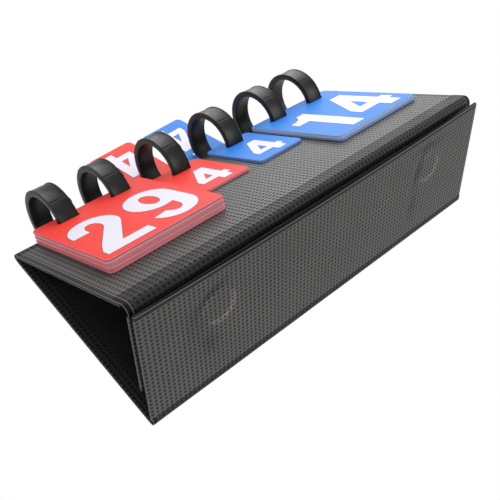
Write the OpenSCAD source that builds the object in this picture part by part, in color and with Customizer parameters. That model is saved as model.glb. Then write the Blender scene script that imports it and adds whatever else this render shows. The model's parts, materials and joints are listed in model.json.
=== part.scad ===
// Tabletop flip scoreboard: a folding three-sided stand of covered boards, with number
// cards that turn over on plastic rings along its ridge.
// +X runs along the ridge from the red end to the blue end, -Y is the front, +Z is up.

/* [Boards] */
// Length of the stand along its ridge
board_l = 385; // [320:1:440]
// Depth of the base board, from the rear fold to its free front edge
base_d = 111.5; // [104:0.5:120]
// Length of the front board between its two folds
front_len = 157.4; // [150:0.2:165]
// Slope of the front board from the table, in degrees
front_angle = 72.8; // [71:0.2:74]
// Length of the back board between its two folds
back_len = 170.8; // [164:0.2:178]
// Slope of the back board from the table, in degrees
back_angle = 70.5; // [69:0.5:72]
// Length of the closing flap that lies over the base board
flap_len = 72; // [60:1:80]
// Thickness of a board with its cover and lining
board_t = 3.2; // [3:0.1:3.4]
// Thickness of the closing flap with its cover
flap_t = 2.4; // [2:0.1:2.6]
// Thickness of the outer cover
cover_t = 0.6; // [0.4:0.1:0.8]
// Thickness of the inner lining
lining_t = 0.4; // [0.3:0.1:0.5]

/* [Folds] */
// Outer radius of the ridge fold
ridge_r = 3.5; // [3.2:0.1:4]
// Outer radius of the soft front fold
spine_r = 6; // [5.5:0.1:6.5]
// Outer radius of the rear fold
foot_r = 3.2; // [3.2:0.1:3.6]
// Thickness of the flexible strip in a fold
strip_t = 0.8; // [0.6:0.1:1]

/* [Rings] */
// Outer radius of a ring
ring_r = 32; // [31:0.2:33]
// Thickness of a ring's band
ring_t = 5.6; // [5:0.1:5.8]
// Width of a ring's band
ring_w = 17.6; // [15:0.2:18]
// Height of a ring's centre above the ridge fold's axis
ring_rise = 20.4; // [19.6:0.2:21]
// Distance from the middle of a score card to each of its two rings
ring_half_gap = 26; // [22:0.5:28]
// Angle of each seam from the top of the ring, in degrees
seam_angle = 115; // [108:1:120]

/* [Cards] */
// Width of a score card
score_w = 108; // [100:1:112]
// Height of a score card
score_h = 118; // [110:1:122]
// Width of a set card
set_w = 52; // [46:1:56]
// Height of a set card
set_h = 77.5; // [70:0.5:82]
// Thickness of one card
card_t = 0.5; // [0.4:0.05:0.6]
// Thickness of the red score cards under the top card
red_stack_t = 9.4; // [7:0.2:9.6]
// Thickness of the blue score cards under the top card
blue_stack_t = 4.2; // [3:0.2:8]
// Thickness of a set pack
set_stack_t = 2.3; // [1.6:0.1:2.6]
// Thickness of a turned-over set pack
turned_stack_t = 1.5; // [1:0.1:1.6]
// Distance by which the cards reach past the ridge end of the front board
card_over = 3; // [1:0.5:4]

/* [Hidden] */
$fn = 96;

// colours
LEATHER = [0.16, 0.16, 0.17];
BLACK = [0.07, 0.07, 0.08];
GREYBOARD = [0.5, 0.48, 0.45];
STEEL = [0.6, 0.61, 0.63];
RED = [0.93, 0.25, 0.22];
BLUE = [0.18, 0.5, 0.93];
WHITE = [0.96, 0.96, 0.98];

// middle of each pack along the ridge
red_score_x = -117.5;
blue_score_x = 124;
red_set_x = -28;
blue_set_x = 37.5;
RING_X = [
    red_score_x - ring_half_gap, red_score_x + ring_half_gap, red_set_x,
    blue_set_x, blue_score_x - ring_half_gap, blue_score_x + ring_half_gap
];

// The side section as [y, z] points. "down" runs along a board away from the ridge,
// and "out" is its outward normal.
front_down = [-cos(front_angle), -sin(front_angle)];
front_out = [-sin(front_angle), cos(front_angle)];
back_down = [cos(back_angle), -sin(back_angle)];
back_out = [sin(back_angle), cos(back_angle)];

foot_axis = [base_d / 2 - foot_r, foot_r];
ridge_axis = foot_axis + (foot_r - ridge_r) * back_out - back_len * back_down;
front_top = ridge_axis + ridge_r * front_out;
back_top = ridge_axis + ridge_r * back_out;
spine_axis = front_top + front_len * front_down - spine_r * front_out;
base_front = foot_axis[0] + foot_r - base_d;
flap_z = spine_axis[1] - spine_r;
ring_axis = ridge_axis + [0, ring_rise];

// clearances
fold_gap = 0.3;
edge_wall = 0.8;
slot_w = 20;
slot_near = 5.6;
front_slot_len = 7.9;
back_slot_len = 14.6;
ring_clear = 0.6;
seam_gap = 0.3;

// magnets in the base and keeper plates in the flap
magnet_r = 10;
magnet_t = 1.6;
magnet_x = 124;
magnet_y = -17;
keeper_t = 1;

// ring details
rim_w = 1.2;
rim_h = 0.4;
ring_mid = ring_r - ring_t / 2;
knuckle_r = 3;
knuckle_pin_r = 0.9;
knuckle_bore_r = 1.1;
knuckle_w = 5.4;
ear_inset = 0.2;
seam_half = seam_gap / ring_r * 180 / PI / 2;
catch_w = 0.8;
catch_inset = 0.7;
catch_angle = seam_angle + 8;
catch_size = 5;

// cards
score_corner = 4.5;
set_corner = 4;
card_lift = 0.3;
top_card_gap = 0.1;
red_card_z = card_lift + red_stack_t + top_card_gap;
blue_card_z = card_lift + blue_stack_t + top_card_gap;
set_top_z = card_lift + set_stack_t;

// numbers: thickness of the ink, size, distance down from the card's top edge, and place across
ink_t = 0.12;
score_digit_h = 77.5;
score_digit_drop = 33;
score_digit_x = [-26.5, 24.5];
set_digit_w = 51;
set_digit_h = 44;
set_digit_drop = 27.5;

// turned-over set cards: where they hang on the ring and how they lean, in degrees
turned_at = -48;
turned_lean = -4.7;
turned_skew = 4.5;
turned_slot_len = 15;
turned_axis = ring_axis + ring_mid * [-sin(turned_at), cos(turned_at)];
slot_from_edge = 13.6;

// Places a child in the front board's frame: y up the slope, z out of its outer face.
module on_front() {
    translate([0, front_top[0], front_top[1]]) rotate([front_angle, 0, 0]) children();
}

// Places a child in the back board's frame: y down the slope, z out of its outer face.
module on_back() {
    translate([0, back_top[0], back_top[1]]) rotate([-back_angle, 0, 0]) children();
}

// A cylinder of any radius along X about a [y, z] point.
module rod(at, r, w) {
    translate([0, at[0], at[1]]) rotate([0, 90, 0]) cylinder(r = r, h = w, center = true);
}

// A block centred on x, from y0 to y1 and z0 to z1.
module slab(w, y0, y1, z0, z1) {
    translate([-w / 2, y0, z0]) cube([w, y1 - y0, z1 - z0]);
}

// Slots for the rings through a board, between two distances along it.
module ring_slots(y0, y1) {
    for (x = RING_X) translate([x, 0, 0]) slab(slot_w, y0, y1, -board_t - 1, 1);
}

// A strip bent round a fold, between two directions in degrees from +Y towards +Z.
module fold_strip(at, r, from, to) {
    reach = 3 * r;
    middle = (from + to) / 2;
    sector = [
        [0, 0],
        reach * [cos(from), sin(from)],
        reach * [cos(middle), sin(middle)],
        reach * [cos(to), sin(to)]
    ];
    translate([0, at[0], at[1]]) rotate([90, 0, 90])
        linear_extrude(board_l, center = true)
        intersection() {
            difference() {
                circle(r);
                circle(r - strip_t);
            }
            polygon(sector);
        }
}

// ---- base board ----

// The base board's outer solid, hollowed round the rear fold.
module base_body(side, low, high, front) {
    difference() {
        slab(board_l - 2 * side, base_front + front, foot_axis[0], low, high);
        rod(foot_axis, foot_r + fold_gap, board_l + 2);
    }
}

module base_cover() {
    color(LEATHER) difference() {
        base_body(0, 0, board_t, 0);
        slab(board_l - 2 * edge_wall, base_front + edge_wall, base_d, cover_t, board_t + 1);
    }
}

module magnet_discs(z0, t) {
    for (side = [-1, 1])
        translate([side * magnet_x, magnet_y, z0]) cylinder(r = magnet_r, h = t);
}

module base_core() {
    color(GREYBOARD) difference() {
        base_body(edge_wall, cover_t, board_t - lining_t, edge_wall);
        magnet_discs(board_t - lining_t - magnet_t, magnet_t + 1);
    }
}

module base_magnets() {
    color(STEEL) magnet_discs(board_t - lining_t - magnet_t, magnet_t);
}

module base_lining() {
    color(BLACK) base_body(edge_wall, board_t - lining_t, board_t, edge_wall);
}

// ---- back board ----

// A slab of the back board, hollowed round the ridge fold and the rear fold.
module back_body(side, out, inner) {
    difference() {
        on_back() slab(board_l - 2 * side, 0, back_len, -inner, -out);
        rod(ridge_axis, ridge_r + fold_gap, board_l + 2);
        rod(foot_axis, foot_r + fold_gap, board_l + 2);
        on_back() ring_slots(slot_near, slot_near + back_slot_len);
    }
}

module back_cover() {
    color(LEATHER) difference() {
        back_body(0, 0, board_t);
        on_back() slab(board_l - 2 * edge_wall, -1, back_len + 1, -board_t - 1, -cover_t);
    }
}

module back_core() {
    color(GREYBOARD) back_body(edge_wall, cover_t, board_t - lining_t);
}

module back_lining() {
    color(BLACK) back_body(edge_wall, board_t - lining_t, board_t);
}

module rear_fold_strip() {
    color(LEATHER) fold_strip(foot_axis, foot_r, 90 - back_angle, -90);
}

// ---- front board ----

// A slab of the front board, hollowed round the ridge fold and the front fold.
module front_body(side, out, inner) {
    difference() {
        on_front() slab(board_l - 2 * side, -front_len, 0, -inner, -out);
        rod(ridge_axis, ridge_r + fold_gap, board_l + 2);
        rod(spine_axis, spine_r + fold_gap, board_l + 2);
        on_front() ring_slots(-slot_near - front_slot_len, -slot_near);
    }
}

module front_cover() {
    color(LEATHER) difference() {
        front_body(0, 0, board_t);
        on_front() slab(board_l - 2 * edge_wall, -front_len - 1, 1, -board_t - 1, -cover_t);
    }
}

module front_core() {
    color(GREYBOARD) front_body(edge_wall, cover_t, board_t - lining_t);
}

module front_lining() {
    color(BLACK) front_body(edge_wall, board_t - lining_t, board_t);
}

module ridge_fold_strip() {
    color(LEATHER) fold_strip(ridge_axis, ridge_r, 90 - back_angle, 90 + front_angle);
}

module front_fold_strip() {
    color(LEATHER) fold_strip(spine_axis, spine_r, 90 + front_angle, 270);
}

// ---- closing flap ----

// A slab of the flap, hollowed round the front fold.
module flap_body(side, low, high, end) {
    difference() {
        slab(board_l - 2 * side, spine_axis[0], spine_axis[0] + flap_len - end,
             flap_z + low, flap_z + high);
        rod(spine_axis, spine_r + fold_gap, board_l + 2);
    }
}

module flap_cover() {
    color(LEATHER) difference() {
        flap_body(0, 0, flap_t, 0);
        slab(board_l - 2 * edge_wall, spine_axis[0] - 1,
             spine_axis[0] + flap_len - edge_wall, flap_z + cover_t, flap_z + flap_t + 1);
    }
}

module flap_core() {
    color(GREYBOARD) difference() {
        flap_body(edge_wall, cover_t, flap_t - lining_t, edge_wall);
        magnet_discs(flap_z + cover_t - 1, keeper_t + 1);
    }
}

module flap_keepers() {
    color(STEEL) magnet_discs(flap_z + cover_t, keeper_t);
}

module flap_lining() {
    color(BLACK) flap_body(edge_wall, flap_t - lining_t, flap_t, edge_wall);
}

// ---- rings ----

// One arc of the rimmed band, from one angle to another, measured from the top
// towards the front.
module band(from, to) {
    half = ring_w / 2;
    low = ring_r - ring_t;
    profile = [
        [low, -half], [ring_r, -half], [ring_r, rim_w - half], [ring_r - rim_h, rim_w - half],
        [ring_r - rim_h, half - rim_w], [ring_r, half - rim_w], [ring_r, half], [low, half]
    ];
    rotate([0, 90, 0]) rotate([0, 0, 180 + from]) rotate_extrude(angle = to - from)
        polygon(profile);
}

// The place of a point on the ring at an angle from the top towards the front.
function on_ring(angle) = ring_mid * [-sin(angle), cos(angle)];

module knuckle(w, r) {
    rod(on_ring(-seam_angle), r, w);
}

// The lower part of a ring: it passes through both boards and carries the hinge pin and
// the snap catch.
module ring_base(x) {
    color(BLACK) translate([x, ring_axis[0], ring_axis[1]]) {
        difference() {
            union() {
                band(seam_angle + seam_half, 360 - seam_angle - seam_half);
                knuckle(ring_w - 2 * ear_inset, knuckle_r);
            }
            knuckle(knuckle_w + 2 * fold_gap, knuckle_r + fold_gap);
        }
        knuckle(knuckle_w + 4 * fold_gap, knuckle_pin_r);
        ring_catch();
    }
}

// The small catch on the side of the front seam.
module ring_catch() {
    at = on_ring(catch_angle);
    intersection() {
        translate([ring_w / 2, 0, 0]) rotate([0, 90, 0])
            difference() {
                cylinder(r = ring_r - catch_inset, h = 2 * catch_w, center = true);
                cylinder(r = ring_r - ring_t + catch_inset, h = 2 * catch_w + 1, center = true);
            }
        translate([ring_w / 2, at[0], at[1]]) cube(catch_size, center = true);
    }
}

// The upper part of a ring: it swings up and back on the hinge pin.
module ring_clasp(x) {
    side_w = (ring_w - knuckle_w) / 2 + 1;
    color(BLACK) translate([x, ring_axis[0], ring_axis[1]])
        difference() {
            union() {
                difference() {
                    band(seam_half - seam_angle, seam_angle - seam_half);
                    for (side = [-1, 1])
                        translate([side * (knuckle_w + side_w) / 2, 0, 0])
                            knuckle(side_w, knuckle_r + fold_gap);
                }
                knuckle(knuckle_w, knuckle_r);
            }
            knuckle(ring_w + 1, knuckle_bore_r);
        }
}

// ---- cards ----

// A rectangle with round corners, centred on x, hanging down from y = 0.
module card_outline(w, h, r) {
    translate([-w / 2, -h]) {
        translate([r, 0]) square([w - 2 * r, h]);
        translate([0, r]) square([w, h - 2 * r]);
        for (x = [r, w - r], y = [r, h - r]) translate([x, y]) circle(r);
    }
}

// The space that a ring needs through cards that turn about its centre.
module ring_channel(x) {
    translate([x, ring_axis[0], ring_axis[1]]) rotate([0, 90, 0])
        difference() {
            cylinder(r = ring_r + ring_clear, h = slot_w, center = true);
            cylinder(r = ring_r - ring_t - ring_clear, h = slot_w + 1, center = true);
        }
}

// Cards lying on the front board, centred at x, from one height above it to another.
module front_cards(x, w, h, r, low, t, rings) {
    difference() {
        on_front() translate([x, card_over, low]) linear_extrude(t) card_outline(w, h, r);
        for (ring = rings) ring_channel(RING_X[ring]);
    }
}

// Points along an elliptical arc, between two angles in degrees.
function arc(c, rx, ry, from, to, n) = [
    for (i = [0:n]) c + [rx * cos(from + (to - from) * i / n), ry * sin(from + (to - from) * i / n)]
];

// Stretches points that are drawn one unit high.
function sized(points, w, h) = [for (p = points) [p[0] * w, p[1] * h]];

// Bold digits on y = 0, centred on x = 0. w and h are the sizes of one unit across and up.
module digit_one(w, h) {
    polygon(sized([[-0.01, 0], [0.19, 0], [0.19, 1], [0.06, 1], [0, 0.9], [-0.07, 0.86],
                   [-0.19, 0.84], [-0.19, 0.7], [-0.01, 0.7]], w, h));
}

module digit_two(w, h) {
    bowl = [0, 0.72];
    polygon(sized(concat(
        arc(bowl, 0.27, 0.28, 180, -30, 20),
        [[-0.02, 0.15], [0.27, 0.15], [0.27, 0], [-0.27, 0], [-0.27, 0.1], [-0.2, 0.24]],
        arc(bowl, 0.085, 0.135, -35, 180, 12),
        [[-0.085, 0.66], [-0.27, 0.66]]
    ), w, h));
}

module digit_four(w, h) {
    difference() {
        polygon(sized([[0.04, 0], [0.23, 0], [0.23, 0.18], [0.3, 0.18], [0.3, 0.355],
                       [0.23, 0.355], [0.23, 1], [0.04, 1], [-0.29, 0.355], [-0.29, 0.18],
                       [0.04, 0.18]], w, h));
        polygon(sized([[0.04, 0.355], [0.04, 0.65], [-0.12, 0.355]], w, h));
    }
}

module digit_nine(w, h) {
    bowl = [0, 0.69];
    tail = [0, 0.3];
    difference() {
        union() {
            polygon(sized(arc(bowl, 0.27, 0.31, 0, 345, 23), w, h));
            polygon(sized(concat(
                [[0.1, 0.69], [0.27, 0.69]],
                arc(tail, 0.27, 0.3, 0, -165, 18),
                [[-0.1, 0.25]],
                arc(tail, 0.095, 0.16, -150, 0, 10)
            ), w, h));
        }
        polygon(sized(arc(bowl, 0.085, 0.165, 0, 345, 23), w, h));
    }
}

// The number on a score card: two digits, in the front board's frame.
module score_number(x, top) {
    on_front() translate([x, card_over - score_digit_drop - score_digit_h, top])
        linear_extrude(ink_t) {
            translate([score_digit_x[0], 0]) children(0);
            translate([score_digit_x[1], 0]) children(1);
        }
}

// The number on a set card, in the front board's frame.
module set_number(x) {
    on_front() translate([x, card_over - set_digit_drop - set_digit_h, set_top_z])
        linear_extrude(ink_t) digit_four(set_digit_w, set_digit_h);
}

module red_score_stack() {
    color(RED) front_cards(red_score_x, score_w, score_h, score_corner, card_lift,
                           red_stack_t, [0, 1]);
}

module red_score_card() {
    color(RED) front_cards(red_score_x, score_w, score_h, score_corner, red_card_z,
                           card_t, [0, 1]);
}

module red_score_number() {
    color(WHITE) score_number(red_score_x, red_card_z + card_t) {
        digit_two(score_digit_h, score_digit_h);
        digit_nine(score_digit_h, score_digit_h);
    }
}

module blue_score_stack() {
    color(BLUE) front_cards(blue_score_x, score_w, score_h, score_corner, card_lift,
                            blue_stack_t, [4, 5]);
}

module blue_score_card() {
    color(BLUE) front_cards(blue_score_x, score_w, score_h, score_corner, blue_card_z,
                            card_t, [4, 5]);
}

module blue_score_number() {
    color(WHITE) score_number(blue_score_x, blue_card_z + card_t) {
        digit_one(score_digit_h, score_digit_h);
        digit_four(score_digit_h, score_digit_h);
    }
}

module red_set_pack() {
    color(RED) front_cards(red_set_x, set_w, set_h, set_corner, card_lift, set_stack_t, [2]);
}

module red_set_number() {
    color(WHITE) set_number(red_set_x);
}

module blue_set_pack() {
    color(BLUE) front_cards(blue_set_x, set_w, set_h, set_corner, card_lift, set_stack_t, [3]);
}

module blue_set_number() {
    color(WHITE) set_number(blue_set_x);
}

// Places a child in a turned-over pack's frame: origin in the slot, y up the card,
// z out of its front.
module on_turned(x) {
    translate([x, turned_axis[0], turned_axis[1]]) rotate([90 - turned_lean, 0, 0])
        rotate([0, 0, turned_skew]) children();
}

module turned_pack(x) {
    on_turned(x) translate([0, 0, -turned_stack_t / 2]) linear_extrude(turned_stack_t)
        difference() {
            translate([0, set_h - slot_from_edge]) card_outline(set_w, set_h, set_corner);
            square([slot_w, turned_slot_len], center = true);
        }
}

// The number on the back of the turned-over pack, which hangs upside down at the rear.
module turned_number(x) {
    digit_foot = set_digit_drop + set_digit_h - slot_from_edge;
    on_turned(x) translate([0, digit_foot, turned_stack_t / 2]) rotate(180)
        linear_extrude(ink_t) digit_four(set_digit_w, set_digit_h);
}

module red_turned_pack() {
    color(RED) turned_pack(red_set_x);
}

module red_turned_number() {
    color(WHITE) turned_number(red_set_x);
}

module blue_turned_pack() {
    color(BLUE) turned_pack(blue_set_x);
}

module blue_turned_number() {
    color(WHITE) turned_number(blue_set_x);
}

base_cover();
base_core();
base_lining();
base_magnets();
back_cover();
back_core();
back_lining();
rear_fold_strip();
front_cover();
front_core();
front_lining();
ridge_fold_strip();
front_fold_strip();
flap_cover();
flap_core();
flap_lining();
flap_keepers();
ring_base(RING_X[0]);  // ring_1_base
ring_base(RING_X[1]);  // ring_2_base
ring_base(RING_X[2]);  // ring_3_base
ring_base(RING_X[3]);  // ring_4_base
ring_base(RING_X[4]);  // ring_5_base
ring_base(RING_X[5]);  // ring_6_base
ring_clasp(RING_X[0]);  // ring_1_clasp
ring_clasp(RING_X[1]);  // ring_2_clasp
ring_clasp(RING_X[2]);  // ring_3_clasp
ring_clasp(RING_X[3]);  // ring_4_clasp
ring_clasp(RING_X[4]);  // ring_5_clasp
ring_clasp(RING_X[5]);  // ring_6_clasp
red_score_stack();
red_score_card();
red_score_number();
blue_score_stack();
blue_score_card();
blue_score_number();
red_set_pack();
red_set_number();
blue_set_pack();
blue_set_number();
red_turned_pack();
red_turned_number();
blue_turned_pack();
blue_turned_number();
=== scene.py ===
"""Looks for the tabletop flip scoreboard: covered boards, soft folds, rings and card packs."""

import json
import math
import random

import bpy
from mathutils import Matrix, Vector
from mathutils.geometry import tessellate_polygon


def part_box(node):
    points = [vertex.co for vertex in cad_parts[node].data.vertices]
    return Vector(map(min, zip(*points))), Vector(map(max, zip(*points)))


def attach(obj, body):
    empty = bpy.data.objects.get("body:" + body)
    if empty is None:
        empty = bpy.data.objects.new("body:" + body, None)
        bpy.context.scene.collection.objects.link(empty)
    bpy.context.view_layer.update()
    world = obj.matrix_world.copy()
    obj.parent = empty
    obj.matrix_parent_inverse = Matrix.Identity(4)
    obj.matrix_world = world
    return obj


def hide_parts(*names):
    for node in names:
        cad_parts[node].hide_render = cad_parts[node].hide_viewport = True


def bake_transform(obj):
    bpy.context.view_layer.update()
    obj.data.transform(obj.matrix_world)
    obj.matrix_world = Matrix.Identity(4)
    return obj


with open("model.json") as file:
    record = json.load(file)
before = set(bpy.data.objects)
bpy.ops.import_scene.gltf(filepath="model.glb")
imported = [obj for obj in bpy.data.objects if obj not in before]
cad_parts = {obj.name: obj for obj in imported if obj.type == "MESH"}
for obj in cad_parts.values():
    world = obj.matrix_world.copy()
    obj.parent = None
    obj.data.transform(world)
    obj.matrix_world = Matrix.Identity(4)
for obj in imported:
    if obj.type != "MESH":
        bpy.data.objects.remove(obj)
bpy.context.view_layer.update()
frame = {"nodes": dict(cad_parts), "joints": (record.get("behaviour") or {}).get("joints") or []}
scene = bpy.context.scene
MM = 0.001

# ---- places, taken from the frame ----

JOINTS = {j["name"]: j for j in frame["joints"]}
NODES = frame["nodes"]


def axis_of(joint):
    """The place of a hinge's axis in the side section, as (y, z)."""
    x, y, z = JOINTS[joint]["pos_m"]
    return Vector((y, z))


def node_middle_x(node):
    low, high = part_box(node)
    return (low.x + high.x) / 2


FOOT = axis_of("base_fold")
RIDGE = axis_of("ridge_fold")
SPINE = axis_of("flap_fold")
RING = axis_of("ring_1_turn")
RING_X = [JOINTS[f"ring_{n}_turn"]["pos_m"][0] for n in range(1, 7)]
BASE_LOW, BASE_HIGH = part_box("base_cover")
HALF_LENGTH = BASE_HIGH.x

# thicknesses and radii that the CAD model has
BOARD_T = BASE_HIGH.z - BASE_LOW.z
FLAP_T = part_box("flap_cover")[1].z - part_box("flap_cover")[0].z
FOOT_R = 3.2 * MM
RIDGE_R = 3.5 * MM
SPINE_R = 6.0 * MM
RING_OUT = 32 * MM
RING_IN = 26.4 * MM

# slopes of the boards from the table
FRONT_ANGLE = math.radians(72.8)
BACK_ANGLE = math.radians(70.5)


class Board:
    """A board's own axes: x along the ridge, y down the board from its start, z out of it."""

    def __init__(self, origin, down, out):
        self.origin = Vector((0, origin[0], origin[1]))
        self.down = Vector((0, down[0], down[1]))
        self.out = Vector((0, out[0], out[1]))

    def at(self, x, y, z):
        return Vector((x, 0, 0)) + self.origin + y * self.down + z * self.out


FRONT_DOWN = Vector((-math.cos(FRONT_ANGLE), -math.sin(FRONT_ANGLE)))
FRONT_OUT = Vector((-math.sin(FRONT_ANGLE), math.cos(FRONT_ANGLE)))
BACK_DOWN = Vector((math.cos(BACK_ANGLE), -math.sin(BACK_ANGLE)))
BACK_OUT = Vector((math.sin(BACK_ANGLE), math.cos(BACK_ANGLE)))

FRONT = Board(RIDGE + RIDGE_R * FRONT_OUT, FRONT_DOWN, FRONT_OUT)
BACK = Board(RIDGE + RIDGE_R * BACK_OUT, BACK_DOWN, BACK_OUT)
BASE = Board(Vector((BASE_LOW.y, 0)), Vector((1, 0)), Vector((0, -1)))
FLAP = Board(Vector((SPINE.x, SPINE.y - SPINE_R)), Vector((1, 0)), Vector((0, -1)))
FRONT_LENGTH = (SPINE + SPINE_R * FRONT_OUT - (RIDGE + RIDGE_R * FRONT_OUT)).dot(FRONT_DOWN)
BACK_LENGTH = (FOOT - RIDGE).dot(BACK_DOWN)
BASE_LENGTH = FOOT.x - BASE_LOW.y
FLAP_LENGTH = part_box("flap_cover")[1].y - SPINE.x

# ---- camera ----

CAMERA_AT = Vector((-0.3531, -0.3586, -0.2797))
CAMERA_RIGHT = Vector((0.7173, 0.0268, -0.6963))
CAMERA_UP = Vector((0.4542, -0.7758, 0.4380))
CAMERA_LENS = 51.21


def add_camera():
    data = bpy.data.cameras.new("camera")
    data.lens = CAMERA_LENS
    data.sensor_width = 36
    data.clip_start = 0.01
    data.clip_end = 50
    camera = bpy.data.objects.new("camera", data)
    right = CAMERA_RIGHT.normalized()
    back = right.cross(CAMERA_UP).normalized()
    up = back.cross(right)
    turn = Matrix((right, up, back)).transposed()
    camera.matrix_world = Matrix.Translation(CAMERA_AT) @ turn.to_4x4()
    scene.collection.objects.link(camera)
    scene.camera = camera


# ---- materials ----


class Shader:
    """A short way to write node trees. A method that adds a node returns its output."""

    def __init__(self, name):
        self.material = bpy.data.materials.new(name)
        self.material.use_nodes = True
        self.tree = self.material.node_tree
        self.principled = self.tree.nodes["Principled BSDF"]

    def put(self, socket, value):
        if isinstance(value, bpy.types.NodeSocket):
            self.tree.links.new(value, socket)
        elif value is not None:
            socket.default_value = value

    def set(self, **values):
        for name, value in values.items():
            self.put(self.principled.inputs[name.replace("_", " ")], value)
        return self.material

    def attribute(self, name):
        node = self.tree.nodes.new("ShaderNodeAttribute")
        node.attribute_name = name
        return node

    def position(self):
        return self.tree.nodes.new("ShaderNodeTexCoord").outputs["Object"]

    def vector(self, operation, a, b=None, output="Vector"):
        node = self.tree.nodes.new("ShaderNodeVectorMath")
        node.operation = operation
        self.put(node.inputs[0], a)
        self.put(node.inputs[1], b)
        return node.outputs[output]

    def math(self, operation, a, b=None):
        node = self.tree.nodes.new("ShaderNodeMath")
        node.operation = operation
        self.put(node.inputs[0], a)
        self.put(node.inputs[1], b)
        return node.outputs[0]

    def noise(self, at, scale, detail=3.0, rough=0.5):
        node = self.tree.nodes.new("ShaderNodeTexNoise")
        self.put(node.inputs["Vector"], at)
        node.inputs["Scale"].default_value = scale
        node.inputs["Detail"].default_value = detail
        node.inputs["Roughness"].default_value = rough
        return node.outputs["Fac"]

    def fit(self, value, low, high, to_low=0.0, to_high=1.0, smooth=False):
        node = self.tree.nodes.new("ShaderNodeMapRange")
        node.interpolation_type = "SMOOTHSTEP" if smooth else "LINEAR"
        for socket, number in zip(node.inputs[:5], (value, low, high, to_low, to_high)):
            self.put(socket, number)
        return node.outputs[0]

    def mix(self, share, a, b):
        node = self.tree.nodes.new("ShaderNodeMix")
        node.data_type = "RGBA"
        self.put(node.inputs["Factor"], share)
        colours = [s for s in node.inputs if s.type == "RGBA"]
        self.put(colours[0], a)
        self.put(colours[1], b)
        return [s for s in node.outputs if s.type == "RGBA"][0]

    def bump(self, height, strength, distance):
        node = self.tree.nodes.new("ShaderNodeBump")
        node.inputs["Strength"].default_value = strength
        node.inputs["Distance"].default_value = distance
        self.put(node.inputs["Height"], height)
        return node.outputs["Normal"]


DIMPLE_PITCH = (4.2 * MM, 3.88 * MM)
DIMPLE_R = 1.65 * MM
HEM_W = 4.6 * MM


def dotted(sh, grain):
    """1 in the middle of each dimple of a square pattern, 0 between them."""
    cell = (*DIMPLE_PITCH, 1)
    local = sh.vector("FRACTION", sh.vector("DIVIDE", grain, cell))
    local = sh.vector("SUBTRACT", local, (0.5, 0.5, 0))
    local = sh.vector("MULTIPLY", local, (cell[0], cell[1], 0))
    distance = sh.vector("LENGTH", local, output="Value")
    return sh.fit(distance, 0.35 * DIMPLE_R, 1.1 * DIMPLE_R, 1, 0, smooth=True)


# A light grey, used for painted highlights along the board edges and round the magnet rims, and for
# the pale line along the hem crease.
LIGHT_GREY = (0.3, 0.29, 0.28, 1)
SHADE = (0.002, 0.002, 0.002, 1)


def leather(name, ground, dot, rough=0.36, dimple=1.0, gloss=0.5):
    """Black leatherette with pressed dimples, smooth along the hems, with painted shade and painted
    highlights from the mesh's attributes.
    """
    sh = Shader(name)
    grain = sh.attribute("grain").outputs["Vector"]
    hem = sh.attribute("hem").outputs["Fac"]
    open_area = sh.fit(hem, HEM_W - 0.4 * MM, HEM_W + 0.4 * MM, 0, dimple, smooth=True)
    dots = sh.math("MULTIPLY", dotted(sh, grain), open_area)
    at = sh.position()
    mottle = sh.fit(sh.noise(at, 22, 4), 0.3, 0.7, 0, 1)
    fine = sh.noise(at, 1600, 2)
    base = sh.mix(mottle, [c * 0.8 for c in ground] + [1], [c * 1.15 for c in ground] + [1])
    # Painted highlight: lightens the colour towards light grey on the side of each magnet rim that
    # faces the light.
    rim_highlighted = sh.fit(sh.attribute("stretch").outputs["Fac"], 0, 1, 0, 0.95)
    base = sh.mix(rim_highlighted, base, LIGHT_GREY)
    base = sh.mix(sh.math("MULTIPLY", dots, 0.85), base, list(dot) + [1])
    smooth_hem = sh.fit(hem, HEM_W - 0.3 * MM, HEM_W + 0.3 * MM, 0.85, 0, smooth=True)
    base = sh.mix(smooth_hem, base, [c * 0.12 for c in ground] + [1])
    off_hem = sh.math("ABSOLUTE", sh.math("SUBTRACT", hem, HEM_W))
    base = sh.mix(sh.fit(off_hem, 0.2 * MM, 0.6 * MM, 0.4, 0), base, LIGHT_GREY)
    # Painted highlight: a thin light grey line along the board edges, 0.6 mm in from them.
    off_rim = sh.math("ABSOLUTE", sh.math("SUBTRACT", hem, 0.6 * MM))
    base = sh.mix(sh.fit(off_rim, 0.2 * MM, 0.4 * MM, 0.45, 0), base, LIGHT_GREY)
    # Painted shade: the shade attribute darkens the inner faces and the sunk patches round the magnets
    # towards near black.
    shade = sh.attribute("shade").outputs["Fac"]
    base = sh.mix(sh.math("MULTIPLY", shade, 0.75), base, SHADE)
    # Painted shade: the end faces of a board, where the hem distance is near 0, go to near black.
    base = sh.mix(sh.fit(hem, 0.05 * MM, 0.2 * MM, 0.85, 0), base, SHADE)
    welt = sh.fit(off_hem, 0, 0.5 * MM, 1, 0)
    height = sh.math("SUBTRACT", sh.math("MULTIPLY", fine, 0.14), dots)
    height = sh.math("SUBTRACT", height, sh.math("MULTIPLY", welt, 0.8))
    roughness = sh.math("ADD", sh.math("MULTIPLY", mottle, 0.1), rough)
    roughness = sh.math("ADD", roughness, sh.math("MULTIPLY", dots, 0.15))
    shine = sh.fit(dots, 0, 1, gloss, 0.25 * gloss)
    return sh.set(
        Base_Color=base,
        Roughness=roughness,
        Normal=sh.bump(height, 0.7, 0.25 * MM),
        Specular_IOR_Level=sh.math("MULTIPLY", shine, sh.fit(smooth_hem, 0, 0.7, 1, 0.35)),
    )


def lining_cloth():
    sh = Shader("lining_cloth")
    at = sh.position()
    weave = sh.noise(sh.vector("MULTIPLY", at, (1, 2.2, 2.2)), 1300, 3, 0.7)
    cloudy = sh.noise(at, 30, 3)
    base = sh.mix(sh.fit(cloudy, 0.3, 0.7), (0.006, 0.006, 0.007, 1), (0.014, 0.014, 0.015, 1))
    return sh.set(
        Base_Color=base, Roughness=0.85, Normal=sh.bump(weave, 0.5, 0.15 * MM), Specular_IOR_Level=0.25
    )


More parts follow.
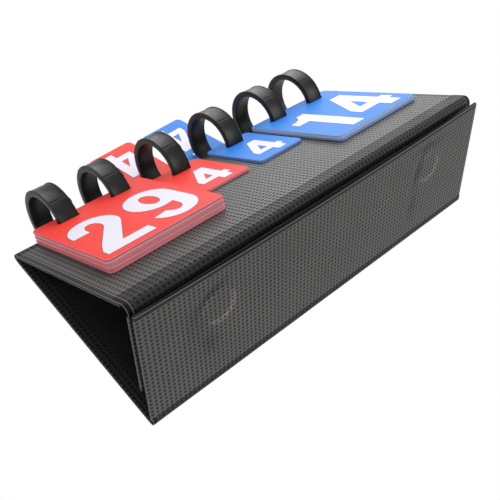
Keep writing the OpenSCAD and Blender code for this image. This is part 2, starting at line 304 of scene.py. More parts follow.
def ring_plastic():
    sh = Shader("ring_plastic")
    at = sh.position()
    flow = sh.noise(sh.vector("MULTIPLY", at, (3, 1, 1)), 120, 4)
    pits = sh.noise(at, 2600, 2)
    base = sh.mix(flow, (0.004, 0.004, 0.0045, 1), (0.009, 0.0088, 0.009, 1))
    rough = sh.fit(flow, 0.3, 0.7, 0.3, 0.4)
    height = sh.math("ADD", sh.math("MULTIPLY", pits, 0.3), flow)
    normal = sh.bump(height, 0.2, 0.06 * MM)
    return sh.set(Base_Color=base, Roughness=rough, Normal=normal, Specular_IOR_Level=0.32)


def card_face(name, colour, pale):
    """Printed plastic sheet, with a pale cut edge that differs a little from card to card, and a dark
    red edge where painted shade marks the gaps between cards.
    """
    sh = Shader(name)
    at = sh.position()
    tone = sh.attribute("tone").outputs["Fac"]
    side = sh.attribute("side").outputs["Fac"]
    cloudy = sh.fit(sh.noise(at, 14, 3), 0.3, 0.7)
    dark, light = [c * 0.93 for c in colour], [min(1, c * 1.05) for c in colour]
    face = sh.mix(cloudy, dark + [1], light + [1])
    # Painted shade: a low edge value darkens the cut edge towards dark red.
    edge = sh.mix(tone, [c * 0.8 for c in colour] + [1], list(pale) + [1])
    fibre = sh.noise(sh.vector("MULTIPLY", at, (1, 6, 6)), 900, 2)
    return sh.set(
        Base_Color=sh.mix(side, face, edge),
        Roughness=sh.fit(cloudy, 0, 1, 0.46, 0.55),
        Normal=sh.bump(fibre, 0.08, 0.05 * MM),
        Specular_IOR_Level=0.35,
    )


def ink(name, colour, rough):
    sh = Shader(name)
    speck = sh.noise(sh.position(), 700, 3)
    base = sh.mix(speck, [c * 0.96 for c in colour] + [1], list(colour) + [1])
    return sh.set(Base_Color=base, Roughness=rough, Normal=sh.bump(speck, 0.05, 0.03 * MM))


def plated_steel():
    sh = Shader("plated_steel")
    at = sh.position()
    brushed = sh.noise(sh.vector("MULTIPLY", at, (1, 12, 1)), 300, 3)
    rough = sh.fit(brushed, 0.3, 0.7, 0.25, 0.4)
    base = sh.mix(brushed, (0.5, 0.51, 0.53, 1), (0.64, 0.65, 0.67, 1))
    return sh.set(
        Base_Color=base, Metallic=1.0, Roughness=rough, Normal=sh.bump(brushed, 0.1, 0.03 * MM)
    )


GROUND = (0.083, 0.08, 0.078)
DOT = (0.012, 0.012, 0.012)
LEATHER = leather("leather_dimpled", GROUND, DOT)
# The folds use the same leatherette with its colour darkened to about a fifth: painted shade where the
# covers curve away from the light.
LEATHER_FOLD_SHADED = leather("leather_fold", [c * 0.22 for c in GROUND], DOT, rough=0.4, gloss=0.28)
LINING = lining_cloth()
PLASTIC = ring_plastic()
RED = card_face("card_red", [0.93, 0.04, 0.028], (0.9, 0.56, 0.66))
BLUE = card_face("card_blue", [0.012, 0.23, 0.82], (0.66, 0.78, 0.93))
WHITE_INK = ink("ink_white", (0.86, 0.83, 0.94), 0.4)
RED_OUTLINE = ink("ink_red_outline", (0.3, 0.04, 0.05), 0.45)
BLUE_OUTLINE = ink("ink_blue_outline", (0.035, 0.09, 0.3), 0.45)
STEEL = plated_steel()


def paint(obj, material):
    obj.data.materials.clear()
    obj.data.materials.append(material)


# ---- making meshes ----


def add_mesh(name, points, faces, material, body, replaced=(), smooth=True):
    mesh = bpy.data.meshes.new(name)
    mesh.from_pydata([tuple(p) for p in points], [], faces)
    mesh.validate()
    mesh.update()
    mesh.materials.append(material)
    obj = bpy.data.objects.new(name, mesh)
    scene.collection.objects.link(obj)
    if smooth:
        mesh.shade_smooth()
    if body:
        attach(obj, body)
    if replaced:
        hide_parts(*replaced)
    return obj


def add_attribute(obj, name, kind, values):
    layer = obj.data.attributes.new(name, kind, "POINT")
    key = "vector" if kind == "FLOAT_VECTOR" else "value"
    flat = [c for v in values for c in v] if kind == "FLOAT_VECTOR" else list(values)
    layer.data.foreach_set(key, flat)


def steps(start, end, longest, keep=()):
    """Places from start to end, no further apart than longest, with every place in keep."""
    marks = sorted({start, end, *[k for k in keep if start < k < end]})
    places = [marks[0]]
    for a, b in zip(marks, marks[1:]):
        count = max(1, math.ceil((b - a) / longest - 1e-6))
        places += [a + (b - a) * i / count for i in range(1, count + 1)]
    return places


def ripple(x, y, phase):
    """A slow uneven swell, from about -1 to 1, as a covered board has."""
    long_wave = math.sin(31 * x + 17 * y + phase) * math.cos(23 * x - 41 * y + 2 * phase)
    short_wave = math.sin(97 * x + 61 * y - phase) * math.cos(71 * y - 53 * x + phase)
    return 0.65 * long_wave + 0.35 * short_wave


EDGE_STEPS = 5
EDGE_ARC = [math.pi / 2 * i / EDGE_STEPS for i in range(1, 2 * EDGE_STEPS)]
SHARP_FOLD = math.radians(50)
RIM_RISE = 0.3 * MM
SLACK_DEPTH = 1.2 * MM


def board_rows(y0, y1, round_r, round_ends, longest, keep):
    """Rows down a board, as (y, how far both faces are drawn in there by a rounded end)."""
    flat_start = y0 + round_r * round_ends[0]
    flat_end = y1 - round_r * round_ends[1]
    rows = [(y, 0.0) for y in steps(flat_start, flat_end, longest, keep)]
    turn = [math.pi / 2 * i / EDGE_STEPS for i in range(1, EDGE_STEPS + 1)]
    if round_ends[0]:
        start = [(y0 + round_r * (1 - math.sin(a)), round_r * (1 - math.cos(a))) for a in turn]
        rows = start[::-1] + rows
    if round_ends[1]:
        rows += [(y1 - round_r * (1 - math.sin(a)), round_r * (1 - math.cos(a))) for a in turn]
    return rows


def board_section(xs, flat, top, thick, round_r, inset):
    """A board's section at one row, from the outer face round: (x, z, place along the cover)."""
    r = round_r - inset
    upper, lower = top - round_r, top - thick + round_r
    places = [(x, top - inset, x) for x in xs]
    for a in EDGE_ARC:
        centre = upper if a <= math.pi / 2 else lower
        places.append((flat + r * math.sin(a), centre + r * math.cos(a), flat + round_r * a))
    places += [(x, top - thick + inset, x) for x in reversed(xs)]
    for a in EDGE_ARC:
        centre = lower if a <= math.pi / 2 else upper
        along = -flat - round_r * (math.pi - a)
        places.append((-flat - r * math.sin(a), centre - r * math.cos(a), along))
    return places


def board_faces(nx, row_count, in_slot):
    """Faces of a slab whose rows are loops of points. in_slot(i, j) leaves a cell open."""
    arc_count = len(EDGE_ARC)
    loop = 2 * nx + 2 * arc_count

    def inner(i):
        return 2 * nx + arc_count - 1 - i

    faces = []
    for j in range(row_count - 1):
        for k in range(loop):
            outer_cell = k < nx - 1
            inner_cell = nx + arc_count <= k < 2 * nx + arc_count - 1
            column = k if outer_cell else inner(k + 1) if inner_cell else None
            if column is not None and in_slot(column, j):
                continue
            n = (k + 1) % loop
            faces.append((j * loop + k, (j + 1) * loop + k, (j + 1) * loop + n, j * loop + n))
    for i in range(nx - 1):
        for j in range(row_count - 1):
            if not in_slot(i, j):
                continue
            a, b = j * loop, (j + 1) * loop
            if i == 0 or not in_slot(i - 1, j):
                faces.append((a + i, b + i, b + inner(i), a + inner(i)))
            if i == nx - 2 or not in_slot(i + 1, j):
                faces.append((a + i + 1, a + inner(i + 1), b + inner(i + 1), b + i + 1))
            if j == 0 or not in_slot(i, j - 1):
                faces.append((a + i, a + inner(i), a + inner(i + 1), a + i + 1))
            if j == row_count - 2 or not in_slot(i, j + 1):
                faces.append((b + i, b + i + 1, b + inner(i + 1), b + inner(i)))
    last = (row_count - 1) * loop
    faces.append(tuple(range(loop)))
    faces.append(tuple(last + k for k in reversed(range(loop))))
    return faces


def covered_board(name, board, y0, y1, top, thick, round_r, material, body, replaced,
                  slots=(), round_ends=(False, False), half=HALF_LENGTH, swell=0.05 * MM,
                  marks=None, hem_edges=(), hem_ends=False, phase=0.0, longest=4 * MM):
    """A slab with rounded edges, in a board's axes, with rectangular slots through it.
    slots are (x0, x1, y0, y1), and hem_edges are the y places that have a hem beside them.
    marks(x, y) says how far the cover sinks and rises there, which also sets its painted shade and
    painted highlight."""
    flat = half - round_r
    xs = steps(-flat, flat, longest, [v for s in slots for v in s[:2]])
    rows = board_rows(y0, y1, round_r, round_ends, longest, [v for s in slots for v in s[2:]])
    points, grain, hem, shade, stretch = [], [], [], [], []
    for y, inset in rows:
        section = board_section(xs, flat, top, thick, round_r, inset)
        for k, (x, z, along) in enumerate(section):
            sink_and_shade, rise_and_highlight = marks(x, y) if marks else (0, 0)
            if k < len(xs) and inset == 0:
                z += swell * ripple(x, y, phase) + (RIM_RISE * rise_and_highlight - SLACK_DEPTH * sink_and_shade)
            near = [half - abs(x)] * hem_ends + [abs(y - e) for e in hem_edges]
            points.append(board.at(x, y, z))
            grain.append((along, y, 0))
            hem.append(min(near, default=1.0))
            # Painted shade: 1 on the inner face, and on the outer face the sunk patches' share round
            # the magnets.
            shade.append(1.0 if z < top - thick / 2 else sink_and_shade)
            # Painted highlight on the side of each magnet rim that faces the light.
            stretch.append(rise_and_highlight)

    def in_slot(i, j):
        x = (xs[i] + xs[i + 1]) / 2
        y = (rows[j][0] + rows[j + 1][0]) / 2
        return any(s[0] < x < s[1] and s[2] < y < s[3] for s in slots)

    faces = board_faces(len(xs), len(rows), in_slot)
    obj = add_mesh(name, points, faces, material, body, replaced)
    obj.data.set_sharp_from_angle(angle=SHARP_FOLD)
    add_attribute(obj, "grain", "FLOAT_VECTOR", grain)
    add_attribute(obj, "hem", "FLOAT", hem)
    add_attribute(obj, "shade", "FLOAT", shade)
    add_attribute(obj, "stretch", "FLOAT", stretch)
    return obj


def slot_boxes(y0, y1, tight):
    half = 10 * MM - tight
    return [(x - half, x + half, y0 + tight, y1 - tight) for x in RING_X]


FRONT_SLOTS = slot_boxes(5.6 * MM, 13.5 * MM, 0.15 * MM)
BACK_SLOTS = slot_boxes(5.6 * MM, 20.2 * MM, 0.15 * MM)
MAGNET_LOW, MAGNET_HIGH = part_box("base_magnets")
MAGNET_X = (MAGNET_HIGH.x - MAGNET_LOW.x) / 2 - (MAGNET_HIGH.y - MAGNET_LOW.y) / 2
MAGNET_Y = (MAGNET_LOW.y + MAGNET_HIGH.y) / 2 - BASE_LOW.y
MAGNET_R = (MAGNET_HIGH.y - MAGNET_LOW.y) / 2
RIM_R = 1.4 * MAGNET_R
RIM_W = 1.3 * MM
# The direction, round each magnet, of the rim's side that gets the painted highlight.
RIM_FACING = math.radians(50)
# Where the slack cover has sunk near each magnet and is darkened with painted shade, from its middle:
# x, y, length, width, the direction it runs in, in degrees, and how dark the painted shade is.
SUNK_AND_SHADED = {
    -1: ((-7, -17, 14, 5, -31, 1.0), (-12, 28, 10, 7, 80, 0.7), (-24, 2, 20, 9, 80, 0.32)),
    1: ((-14, -5, 16, 4, 110, 1.0), (-19, 34, 12, 6, 95, 0.6), (-2, -25, 18, 4, 0, 0.7)),
}


def magnet_marks(x, y):
    """How far the cover sinks, with painted shade (0 to 1), and how far its rim rises, with a painted
    highlight on the rim's side towards the light (0 to 1), round the magnet on that side.
    """
    side = 1 if x > 0 else -1
    dx, dy = x - side * MAGNET_X, y - MAGNET_Y
    sink_and_shade = 0.0
    for sx, sy, length, width, turn, dark in SUNK_AND_SHADED[side]:
        px, py = dx / MM - sx, dy / MM - sy
        c, s = math.cos(math.radians(turn)), math.sin(math.radians(turn))
        along, across = (px * c + py * s) / length, (py * c - px * s) / width
        sink_and_shade += dark * math.exp(-along * along - across * across)
    off_rim = (math.hypot(dx, dy) - RIM_R) / RIM_W
    # The painted highlight is strongest on the rim's side towards RIM_FACING, with a weaker one
    # opposite.
    facing = math.cos(math.atan2(dy, dx) - RIM_FACING)
    lit = max(0.0, facing) ** 0.5 + 0.6 * max(0.0, -facing) ** 3
    return min(1.0, sink_and_shade), lit * math.exp(-off_rim * off_rim)


EDGE_BOW = 3.0 * MM
EDGE_SET_BACK = 3.5 * MM
BOW_REACH = 40 * MM


def bow_free_edge(obj):
    """The base board's free edge is hollow along its length by a few millimetres."""
    for vertex in obj.data.vertices:
        share = max(0.0, 1 - (vertex.co.y - BASE_LOW.y) / BOW_REACH)
        middle = 1 - (vertex.co.x / HALF_LENGTH) ** 2
        vertex.co.y += (EDGE_SET_BACK + EDGE_BOW * middle) * share


def add_boards():
    edge = 1.3 * MM
    flap_edge = 1.0 * MM
    tuck = 1.2 * MM
    rear_gap = 2.2 * MM
    base = covered_board("base_board", BASE, 0, BASE_LENGTH - rear_gap, 0, BOARD_T, edge,
                         LEATHER, "base", ["base_cover", "base_core"],
                         round_ends=(True, False), marks=magnet_marks, hem_edges=(0,),
                         longest=2.5 * MM, swell=0.03 * MM)
    bow_free_edge(base)
    covered_board("back_board", BACK, tuck, BACK_LENGTH - tuck, 0, BOARD_T, edge, LEATHER,
                  "back", ["back_cover", "back_core"], slots=BACK_SLOTS,
                  phase=1.1)
    covered_board("front_board", FRONT, tuck, FRONT_LENGTH - tuck, 0, BOARD_T, edge, LEATHER,
                  "front", ["front_cover", "front_core"], slots=FRONT_SLOTS,
                  hem_ends=True, phase=2.3)
    covered_board("flap_board", FLAP, tuck, FLAP_LENGTH, 0, FLAP_T, flap_edge, LEATHER, "flap",
                  ["flap_cover", "flap_core"], round_ends=(False, True),
                  hem_edges=(FLAP_LENGTH,), phase=3.1)


def add_linings():
    inset = 11 * MM
    thick = 0.5 * MM
    proud = 0.12 * MM
    half = HALF_LENGTH - inset
    rows = [
        ("base", BASE, inset, BASE_LENGTH - inset, BOARD_T, ()),
        ("back", BACK, 4 * MM, BACK_LENGTH - 6 * MM, BOARD_T, BACK_SLOTS),
        ("front", FRONT, 4 * MM, FRONT_LENGTH - 6 * MM, BOARD_T, FRONT_SLOTS),
        ("flap", FLAP, 6 * MM, FLAP_LENGTH - inset, FLAP_T, ()),
    ]
    for name, board, y0, y1, board_t, slots in rows:
        covered_board(f"{name}_lining_sheet", board, y0, y1, thick - board_t - proud, thick,
                      0.2 * MM, LINING, name, [f"{name}_lining"], slots=slots,
                      half=half, swell=0, longest=8 * MM)


# ---- folds ----


FOLD_LIFT = 0.14 * MM
FOLD_T = 0.6 * MM
FOLD_STEP = math.radians(8)


def fold_section(middle, radius, path_before, path_after):
    """Points over a fold, as (point, way out, how free of a board it is, from 0 to 1)."""
    section = []

    def along(board, start, end):
        for y in steps(min(start, end), max(start, end), 2 * MM)[:: 1 if start < end else -1]:
            section.append((board.at(0, y, FOLD_LIFT), board.out.copy(), 0.0))

    along(*path_before)
    first, last = path_before[0].out, path_after[0].out
    turn = math.atan2(first.y * last.z - first.z * last.y, first.dot(last))
    count = max(8, round(abs(turn) / FOLD_STEP))
    for i in range(1, count):
        out = Matrix.Rotation(turn * i / count, 3, "X") @ first
        free = math.sin(math.pi * i / count)
        section.append((middle + (radius + FOLD_LIFT) * out, out, free))
    along(*path_after)
    return section


def strip_faces(rows, columns):
    """Faces of a closed strip. Each column holds its rows of outer points, then of inner ones."""
    ring = 2 * rows
    faces = []
    for j in range(columns - 1):
        a, b = j * ring, (j + 1) * ring
        for i in range(rows - 1):
            faces.append((a + i, a + i + 1, b + i + 1, b + i))
            faces.append((a + rows + i, b + rows + i, b + rows + i + 1, a + rows + i + 1))
        faces.append((a, b, b + rows, a + rows))
        faces.append((a + rows - 1, a + ring - 1, b + ring - 1, b + rows - 1))
    for a, flip in ((0, False), ((columns - 1) * ring, True)):
        for i in range(rows - 1):
            quad = (a + i, a + rows + i, a + rows + i + 1, a + i + 1)
            faces.append(quad[::-1] if flip else quad)
    return faces


def fold_sheet(name, centre, radius, path_before, path_after, replaced, phase,
               wrinkle=0.12 * MM):
    """A strip of cover over a fold. The paths are (board, y from, y to) on the two boards'
    outer faces, and the arc between them runs round the fold's centre."""
    middle = Vector((0, centre.x, centre.y))
    section = fold_section(middle, radius, path_before, path_after)
    run, places = 0.0, []
    for i, (p, _, _) in enumerate(section):
        run += (p - section[i - 1][0]).length if i else 0
        places.append(run)
    reach = HALF_LENGTH - FOLD_T
    xs = steps(-reach, reach, 3 * MM)
    points, grain, hem = [], [], []
    for x in xs:
        for side in (0, 1):
            for (p, out, free), s in zip(section, places):
                wave = wrinkle * free * ripple(1.7 * x, 9 * s, phase)
                points.append(Vector((x, 0, 0)) + p + (wave - side * FOLD_T) * out)
                grain.append((x, s, 0))
                hem.append(HALF_LENGTH - abs(x))
    faces = strip_faces(len(section), len(xs))
    obj = add_mesh(name, points, faces, LEATHER_FOLD_SHADED, None, replaced)
    obj.data.set_sharp_from_angle(angle=SHARP_FOLD)
    add_attribute(obj, "grain", "FLOAT_VECTOR", grain)
    add_attribute(obj, "hem", "FLOAT", hem)
    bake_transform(obj)


def add_folds():
    over = 5 * MM
    spine_over = 11 * MM
    fold_sheet("ridge_fold", RIDGE, RIDGE_R, (BACK, over, 0), (FRONT, 0, over),
               ["ridge_fold_strip"], 0.4)
    fold_sheet("front_fold", SPINE, SPINE_R, (FRONT, FRONT_LENGTH - spine_over, FRONT_LENGTH),
               (FLAP, 0, over), ["front_fold_strip"], 1.9,
               wrinkle=0.3 * MM)
    fold_sheet("rear_fold", FOOT, FOOT_R, (BACK, BACK_LENGTH - over, BACK_LENGTH),
               (BASE, BASE_LENGTH, BASE_LENGTH - over),
               ["rear_fold_strip"], 2.7)


# ---- cards ----

CARD_T = 0.42 * MM
CARD_OVER = 3 * MM
CARD_LIFT = 0.3 * MM
RED_STACK_T = 9.4 * MM
BLUE_STACK_T = 4.2 * MM
SET_STACK_T = 2.3 * MM
TOP_CARD_T = 0.5 * MM
TOP_CARD_GAP = 0.1 * MM
TURNED_T = 1.5 * MM
SCORE = (108 * MM, 118 * MM, 4.5 * MM)
SET = (52 * MM, 77.5 * MM, 4 * MM)
CORNER_STEPS = 8
SLOT_HALF = 10 * MM
SLOT_CLEAR = 0.6 * MM


def rounded_outline(width, height, corner):
    """Points round a card, in its own axes: x across, y down from its top edge."""
    points = []
    for cx, cy, start in (
        (width / 2 - corner, corner, -90),
        (width / 2 - corner, height - corner, 0),
        (-width / 2 + corner, height - corner, 90),
        (-width / 2 + corner, corner, 180),
    ):
        for i in range(CORNER_STEPS + 1):
            a = math.radians(start + 90 * i / CORNER_STEPS)
            points.append((cx + corner * math.cos(a), cy + corner * math.sin(a)))
    return points


def sheet_parts(outline, holes, place, z0, z1):
    """Points, faces and side marks of one flat sheet with holes, as lists."""
    loops = [outline, *holes]
    flat = [p for loop in loops for p in loop]
    count = len(flat)
    points = [place(x, y, z1) for x, y in flat] + [place(x, y, z0) for x, y in flat]
    side = [0.0] * (2 * count)
    caps = tessellate_polygon([[Vector((x, y, 0)) for x, y in loop] for loop in loops])
    faces = []
    for a, b, c in caps:
        faces.append((a, b, c))
        faces.append((c + count, b + count, a + count))
    start = 0
    for loop in loops:
        edge = len(points)
        for z in (z1, z0):
            points += [place(x, y, z) for x, y in loop]
            side += [1.0] * len(loop)
        n = len(loop)
        for i in range(n):
            j = (i + 1) % n
            faces.append((edge + i, edge + j, edge + n + j, edge + n + i))
        start += n
    return points, faces, side


def ring_place():
    """The rings' centre in the front board's axes: (y down the board, height above it)."""
    away = Vector((0, RING.x, RING.y)) - FRONT.origin
    return away.dot(FRONT.down), away.dot(FRONT.out)


def ring_slots(z, rings):
    """The slots that let the rings through a card at height z on the front board."""
    centre_y, centre_z = ring_place()
    low = centre_y + math.sqrt(RING_IN**2 - (z - centre_z) ** 2) - SLOT_CLEAR
    high = centre_y + math.sqrt(RING_OUT**2 - (z - centre_z) ** 2) + SLOT_CLEAR
    return [
        [
            (RING_X[r] - SLOT_HALF, low),
            (RING_X[r] + SLOT_HALF, low),
            (RING_X[r] + SLOT_HALF, high),
            (RING_X[r] - SLOT_HALF, high),
        ]
        for r in rings
    ]


def add_sheets(name, sheets, material, body, replaced):
    """Joins sheets into one piece. Each is (points, faces, sides, tone)."""
    points, faces, sides, edge_tones_and_shade = [], [], [], []
    for p, f, s, tone in sheets:
        base = len(points)
        points += p
        faces += [tuple(i + base for i in face) for face in f]
        sides += s
        edge_tones_and_shade += [tone] * len(p)
    obj = add_mesh(name, points, faces, material, body, replaced, smooth=False)
    add_attribute(obj, "side", "FLOAT", sides)
    add_attribute(obj, "tone", "FLOAT", edge_tones_and_shade)
    return obj


def front_sheet(middle, size, z, thick, rings, shift=(0, 0), tilt=0.0):
    """One card on the front board, shifted and turned a little in its own plane."""
    width, height, corner = size
    turned = []
    for x, y in rounded_outline(width, height, corner):
        across = x * math.cos(tilt) - (y - height / 2) * math.sin(tilt)
        down = x * math.sin(tilt) + (y - height / 2) * math.cos(tilt) + height / 2
        turned.append((middle + across + shift[0], down - CARD_OVER + shift[1]))
    return sheet_parts(turned, ring_slots(z + thick / 2, rings), FRONT.at, z, z + thick)


def add_stack(name, middle, size, low, depth, count, rings, drift, material, body,
              replaced, seed):
    """A stack of loose cards on the front board."""
    rng = random.Random(seed)
    pitch = depth / count
    group = (0.0, 0.0)
    thick = min(CARD_T, pitch * 0.88)
    sheets = []
    for i in range(count):
        starts_group = i == 0 or rng.random() < 0.35
        if starts_group:
            group = (rng.uniform(-0.5, 0.5) * MM, rng.uniform(-0.6, 0.6) * MM)
        from_top = (count - 1 - i) / max(1, count - 1)
        shift = (drift[0] * from_top + group[0] + rng.uniform(-0.12, 0.12) * MM,
                 drift[1] * from_top + group[1] + rng.uniform(-0.15, 0.15) * MM)
        # Painted shade: the first card of each group gets a darker edge, for the gap between groups;
        # the other cards' edges differ at random.
        tone = 0.4 if starts_group else rng.choice((0.85, 1.0, 1.0))
        tilt = math.radians(rng.uniform(-0.12, 0.12))
        sheet = front_sheet(middle, size, low + i * pitch, thick, rings, shift, tilt)
        sheets.append((*sheet, tone))
    return add_sheets(name, sheets, material, body, replaced)


class TurnedCard:
    """Axes of a turned-over card: origin in its slot, y up the card, z out of its front."""

    LEAN = -4.7
    SKEW = 4.5

    def __init__(self, joint, fan=0.0):
        at = Matrix.Translation(Vector(JOINTS[joint]["pos_m"]))
        lean = Matrix.Rotation(math.radians(90 - self.LEAN), 4, "X")
        skew = Matrix.Rotation(math.radians(self.SKEW + fan), 4, "Z")
        self.matrix = at @ lean @ skew

    def at(self, x, y, z):
        return self.matrix @ Vector((x, y, z))


def add_turned(name, joint, material, body, replaced):
    slot_from_edge = 13.6 * MM
    hole_half = 7.5 * MM
    sheets = []
    count = 3
    pitch = TURNED_T / count
    width, height, corner = SET
    for i in range(count):
        card = TurnedCard(joint, fan=(0.7 * (i - count + 1)))
        outline = [(x, height - slot_from_edge - y)
                   for x, y in rounded_outline(width, height, corner)]
        hole = [(-SLOT_HALF, -hole_half), (SLOT_HALF, -hole_half),
                (SLOT_HALF, hole_half), (-SLOT_HALF, hole_half)]
        z = -TURNED_T / 2 + i * pitch
        sheet = sheet_parts(outline, [hole], card.at, z, z + 0.9 * pitch)
        # Painted shade: the middle sheet gets a darker edge, for the gap between the sheets.
        sheets.append((*sheet, 0.85 - 0.3 * (i == 1)))
    return add_sheets(name, sheets, material, body, replaced)


def add_cards():
    red, blue = node_middle_x("red_score_card"), node_middle_x("blue_score_card")
    red_set, blue_set = node_middle_x("red_set_pack"), node_middle_x("blue_set_pack")
    add_stack("red_score_sheets", red, SCORE, CARD_LIFT, RED_STACK_T, 19, (0, 1),
              (-0.7 * MM, 1.3 * MM), RED, "front", ["red_score_stack"], 11)
    add_stack("blue_score_sheets", blue, SCORE, CARD_LIFT, BLUE_STACK_T, 9, (4, 5),
              (-0.5 * MM, 0.6 * MM), BLUE, "front", ["blue_score_stack"], 23)
    for colour, middle, rings, depth, material, body in (
        ("red", red, (0, 1), RED_STACK_T, RED, "red_card"),
        ("blue", blue, (4, 5), BLUE_STACK_T, BLUE, "blue_card"),
    ):
        low = CARD_LIFT + depth + TOP_CARD_GAP
        sheet = front_sheet(middle, SCORE, low, TOP_CARD_T, rings)
        add_sheets(f"{colour}_top_card", [(*sheet, 0.9)], material, body,
                   [f"{colour}_score_card"])
    for colour, middle, rings, material, seed in (
        ("red", red_set, (2,), RED, 5),
        ("blue", blue_set, (3,), BLUE, 8),
    ):
        add_stack(f"{colour}_set_sheets", middle, SET, CARD_LIFT, SET_STACK_T - TOP_CARD_T, 3,
                  rings, (-0.3 * MM, 0.4 * MM), material, f"{colour}_set",
                  [f"{colour}_set_pack"], seed)
        sheet = front_sheet(middle, SET, CARD_LIFT + SET_STACK_T - TOP_CARD_T + 0.03 * MM,
                            TOP_CARD_T - 0.03 * MM, rings)
        add_sheets(f"{colour}_set_top", [(*sheet, 0.9)], material, f"{colour}_set",
                   [])
        add_turned(f"{colour}_turned_sheets", f"{colour}_turned_swing", material,
                   f"{colour}_turned", [f"{colour}_turned_pack"])


# ---- numbers ----

OUTLINE_W = 0.6 * MM
OUTLINE_T = 0.05 * MM


def number_loops(node, place):
    """The outlines of a number's lower face, as lists of (x, y) in the card's axes."""
    mesh = NODES[node].data
    inverse = place.inverted()
    local = [inverse @ v.co for v in mesh.vertices]
    low = min(p.z for p in local)
    key = [(round(p.x, 6), round(p.y, 6)) for p in local]
    on_face = [p.z < low + 0.02 * MM for p in local]
    count = {}
    for poly in mesh.polygons:
        if all(on_face[v] for v in poly.vertices):
            ids = [key[v] for v in poly.vertices]
            for a, b in zip(ids, ids[1:] + ids[:1]):
                count[(a, b)] = True
    following = {a: b for a, b in count if (b, a) not in count}
    loops = []
    while following:
        start = next(iter(following))
        loop, at = [], start
        while at in following:
            loop.append(at)
            at = following.pop(at)
        loops.append(loop)
    return loops, low


def widened(loop, by):
    """A loop moved sideways by a distance, to the right of its direction."""
    tidy = [p for i, p in enumerate(loop) if math.dist(p, loop[i - 1]) > 1e-6]
    moved = []
    for i, p in enumerate(tidy):
        before, after = Vector(tidy[i - 1]), Vector(tidy[(i + 1) % len(tidy)])
        a, b = (Vector(p) - before).normalized(), (after - Vector(p)).normalized()
        normal_a, normal_b = Vector((a.y, -a.x)), Vector((b.y, -b.x))
        total = normal_a + normal_b
        reach = by / max(0.35, total.normalized().dot(normal_b))
        moved.append(tuple(Vector(p) + reach * total.normalized()))
    return moved


def board_matrix(board):
    """A board's axes as a matrix, with y up the slope so that the axes are right-handed."""
    turn = Matrix((Vector((1, 0, 0)), -board.down, board.out)).transposed().to_4x4()
    return Matrix.Translation(board.origin) @ turn


def signed_area(loop):
    return sum(a[0] * b[1] - b[0] * a[1] for a, b in zip(loop, loop[1:] + loop[:1])) / 2


def inside(point, loop):
    """Whether a point lies inside a loop, by the crossings of a ray."""
    crossings = 0
    for a, b in zip(loop, loop[1:] + loop[:1]):
        if (a[1] > point[1]) != (b[1] > point[1]):
            x = a[0] + (point[1] - a[1]) / (b[1] - a[1]) * (b[0] - a[0])
            crossings += x > point[0]
    return crossings % 2 == 1


def add_outline(name, node, place, material, body):
    """A thin dark print under a number that shows as a rim round each digit."""
    loops, low = number_loops(node, place)
    areas = [signed_area(loop) for loop in loops]
    sign = 1 if max(areas, key=abs) > 0 else -1
    parts = []
    for loop, area in zip(loops, areas):
        if area * sign < 1 * MM * MM:
            continue
        holes = [hole for hole, a in zip(loops, areas)
                 if a * sign < 0 and inside(hole[0], loop)]
        wide = [widened(each, sign * OUTLINE_W) for each in (loop, *holes)]
        parts.append((*sheet_parts(wide[0], wide[1:], lambda x, y, z: place @ Vector((x, y, z)),
                                   low - 0.005 * MM, low + OUTLINE_T), 1.0))
    add_sheets(name, parts, material, body, [])


def add_numbers():
    on_front = board_matrix(FRONT)
    for colour, material in (("red", RED_OUTLINE), ("blue", BLUE_OUTLINE)):
        add_outline(f"{colour}_score_outline", f"{colour}_score_number", on_front, material,
                    f"{colour}_card")
        add_outline(f"{colour}_set_outline", f"{colour}_set_number", on_front, material,
                    f"{colour}_set")
        turned = TurnedCard(f"{colour}_turned_swing").matrix
        add_outline(f"{colour}_turned_outline", f"{colour}_turned_number", turned, material,
                    f"{colour}_turned")
        for kind in ("score", "set", "turned"):
            paint(NODES[f"{colour}_{kind}_number"], WHITE_INK)


# ---- rings ----

SHARP = math.radians(32)


def smooth_group():
    """A modifier group that shades faces smooth, except across edges sharper than SHARP."""
    tree = bpy.data.node_groups.new("smooth_by_angle", "GeometryNodeTree")
    for way in ("INPUT", "OUTPUT"):
        tree.interface.new_socket("Geometry", in_out=way, socket_type="NodeSocketGeometry")
    start, end = tree.nodes.new("NodeGroupInput"), tree.nodes.new("NodeGroupOutput")
    plain = tree.nodes.new("GeometryNodeRemoveAttribute")
    plain.inputs["Name"].default_value = "custom_normal"
    faces = tree.nodes.new("GeometryNodeSetShadeSmooth")
    faces.domain = "FACE"
    faces.inputs["Shade Smooth"].default_value = True
    edges = tree.nodes.new("GeometryNodeSetShadeSmooth")
    edges.domain = "EDGE"
    edges.inputs["Shade Smooth"].default_value = False
    angle = tree.nodes.new("GeometryNodeInputMeshEdgeAngle")
    sharper = tree.nodes.new("FunctionNodeCompare")
    sharper.operation = "GREATER_THAN"
    sharper.inputs["B"].default_value = SHARP
    for a, b in (
        (start.outputs[0], plain.inputs["Geometry"]),
        (plain.outputs[0], faces.inputs["Geometry"]),
        (faces.outputs[0], edges.inputs["Geometry"]),
        (angle.outputs["Unsigned Angle"], sharper.inputs["A"]),
        (sharper.outputs[0], edges.inputs["Selection"]),
        (edges.outputs[0], end.inputs[0]),
    ):
        tree.links.new(a, b)
    return tree


SMOOTH = smooth_group()


def soften(obj, width):
    """Rounds the sharp edges of a CAD node as moulding does."""
    weld = obj.modifiers.new("weld", "WELD")
    weld.merge_threshold = 0.001 * MM
    bevel = obj.modifiers.new("bevel", "BEVEL")
    bevel.width = width
    bevel.segments = 2
    bevel.limit_method = "ANGLE"
    bevel.angle_limit = math.radians(40)
    smooth = obj.modifiers.new("smooth", "NODES")
    smooth.node_group = SMOOTH


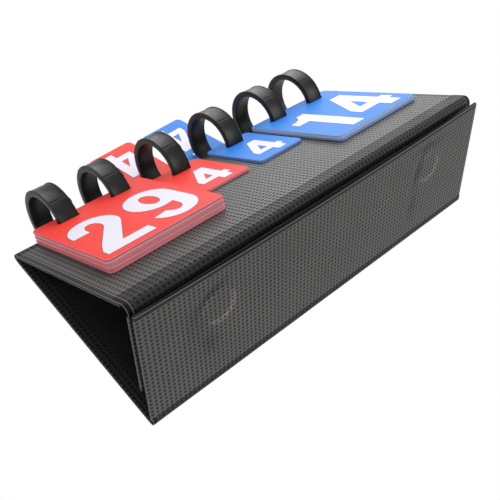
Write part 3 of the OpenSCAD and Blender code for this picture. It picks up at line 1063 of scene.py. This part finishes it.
def add_rings():
    for n in range(1, 7):
        for part in ("base", "clasp"):
            node = NODES[f"ring_{n}_{part}"]
            paint(node, PLASTIC)
            soften(node, 0.25 * MM)


def finish_hidden_parts():
    for name in ("base_magnets", "flap_keepers"):
        paint(NODES[name], STEEL)


# ---- stage and light ----

WORLD_LIGHT = 0.72


def add_floor():
    """A pale floor that shows from above only, so that a low camera looks through it."""
    sh = Shader("floor_pale")
    speck = sh.noise(sh.position(), 40, 4)
    base = sh.mix(speck, (0.8, 0.8, 0.8, 1), (0.83, 0.83, 0.83, 1))
    sh.set(Base_Color=base, Roughness=0.8)
    tree = sh.tree
    geometry = tree.nodes.new("ShaderNodeNewGeometry")
    clear = tree.nodes.new("ShaderNodeBsdfTransparent")
    choose = tree.nodes.new("ShaderNodeMixShader")
    tree.links.new(geometry.outputs["Backfacing"], choose.inputs[0])
    tree.links.new(sh.principled.outputs[0], choose.inputs[1])
    tree.links.new(clear.outputs[0], choose.inputs[2])
    tree.links.new(choose.outputs[0], tree.nodes["Material Output"].inputs["Surface"])
    reach, depth = 12.0, -0.4 * MM
    corners = [(-reach, -reach, depth), (reach, -reach, depth), (reach, reach, depth),
               (-reach, reach, depth)]
    mesh = bpy.data.meshes.new("floor")
    mesh.from_pydata(corners, [], [(0, 1, 2, 3)])
    mesh.materials.append(sh.material)
    floor = bpy.data.objects.new("floor", mesh)
    scene.collection.objects.link(floor)
    floor.visible_shadow = False
    floor.visible_diffuse = False
    floor.visible_glossy = False


def add_light(name, at, aim, size, power):
    data = bpy.data.lights.new(name, "AREA")
    data.shape = "DISK"
    data.size = size
    data.energy = power
    light = bpy.data.objects.new(name, data)
    light.location = at
    light.rotation_mode = "QUATERNION"
    light.rotation_quaternion = (Vector(aim) - Vector(at)).to_track_quat("-Z", "Y")
    scene.collection.objects.link(light)


def add_world():
    """White to the camera, and softer as light on the object."""
    world = bpy.data.worlds.new("studio")
    scene.world = world
    world.use_nodes = True
    tree = world.node_tree
    seen = tree.nodes["Background"]
    seen.inputs["Color"].default_value = (1, 1, 1, 1)
    seen.inputs["Strength"].default_value = 1.0
    lit = tree.nodes.new("ShaderNodeBackground")
    lit.inputs["Color"].default_value = (1, 1, 1, 1)
    lit.inputs["Strength"].default_value = WORLD_LIGHT
    path = tree.nodes.new("ShaderNodeLightPath")
    choose = tree.nodes.new("ShaderNodeMixShader")
    tree.links.new(path.outputs["Is Camera Ray"], choose.inputs[0])
    tree.links.new(lit.outputs[0], choose.inputs[1])
    tree.links.new(seen.outputs[0], choose.inputs[2])
    tree.links.new(choose.outputs[0], tree.nodes["World Output"].inputs["Surface"])
    scene.view_settings.view_transform = "Standard"


def add_lights():
    """A large lamp high beyond the far end, one above the view's top edge, and weak fills."""
    middle = Vector((0, 0, 0.12))
    up = CAMERA_UP.normalized()
    add_light("key", (0.95, -0.55, 1.05), middle, 1.1, 6)
    add_light("top", middle + 1.3 * up, middle, 1.0, 5)
    add_light("low", (0.95, -0.5, -0.5), middle, 0.6, 2.5)
    add_light("back", (0.2, 1.2, 0.9), middle, 1.0, 10)


add_camera()
add_boards()
add_linings()
add_folds()
add_cards()
add_numbers()
add_rings()
finish_hidden_parts()
add_floor()
add_world()
add_lights()

bpy.context.view_layer.update()
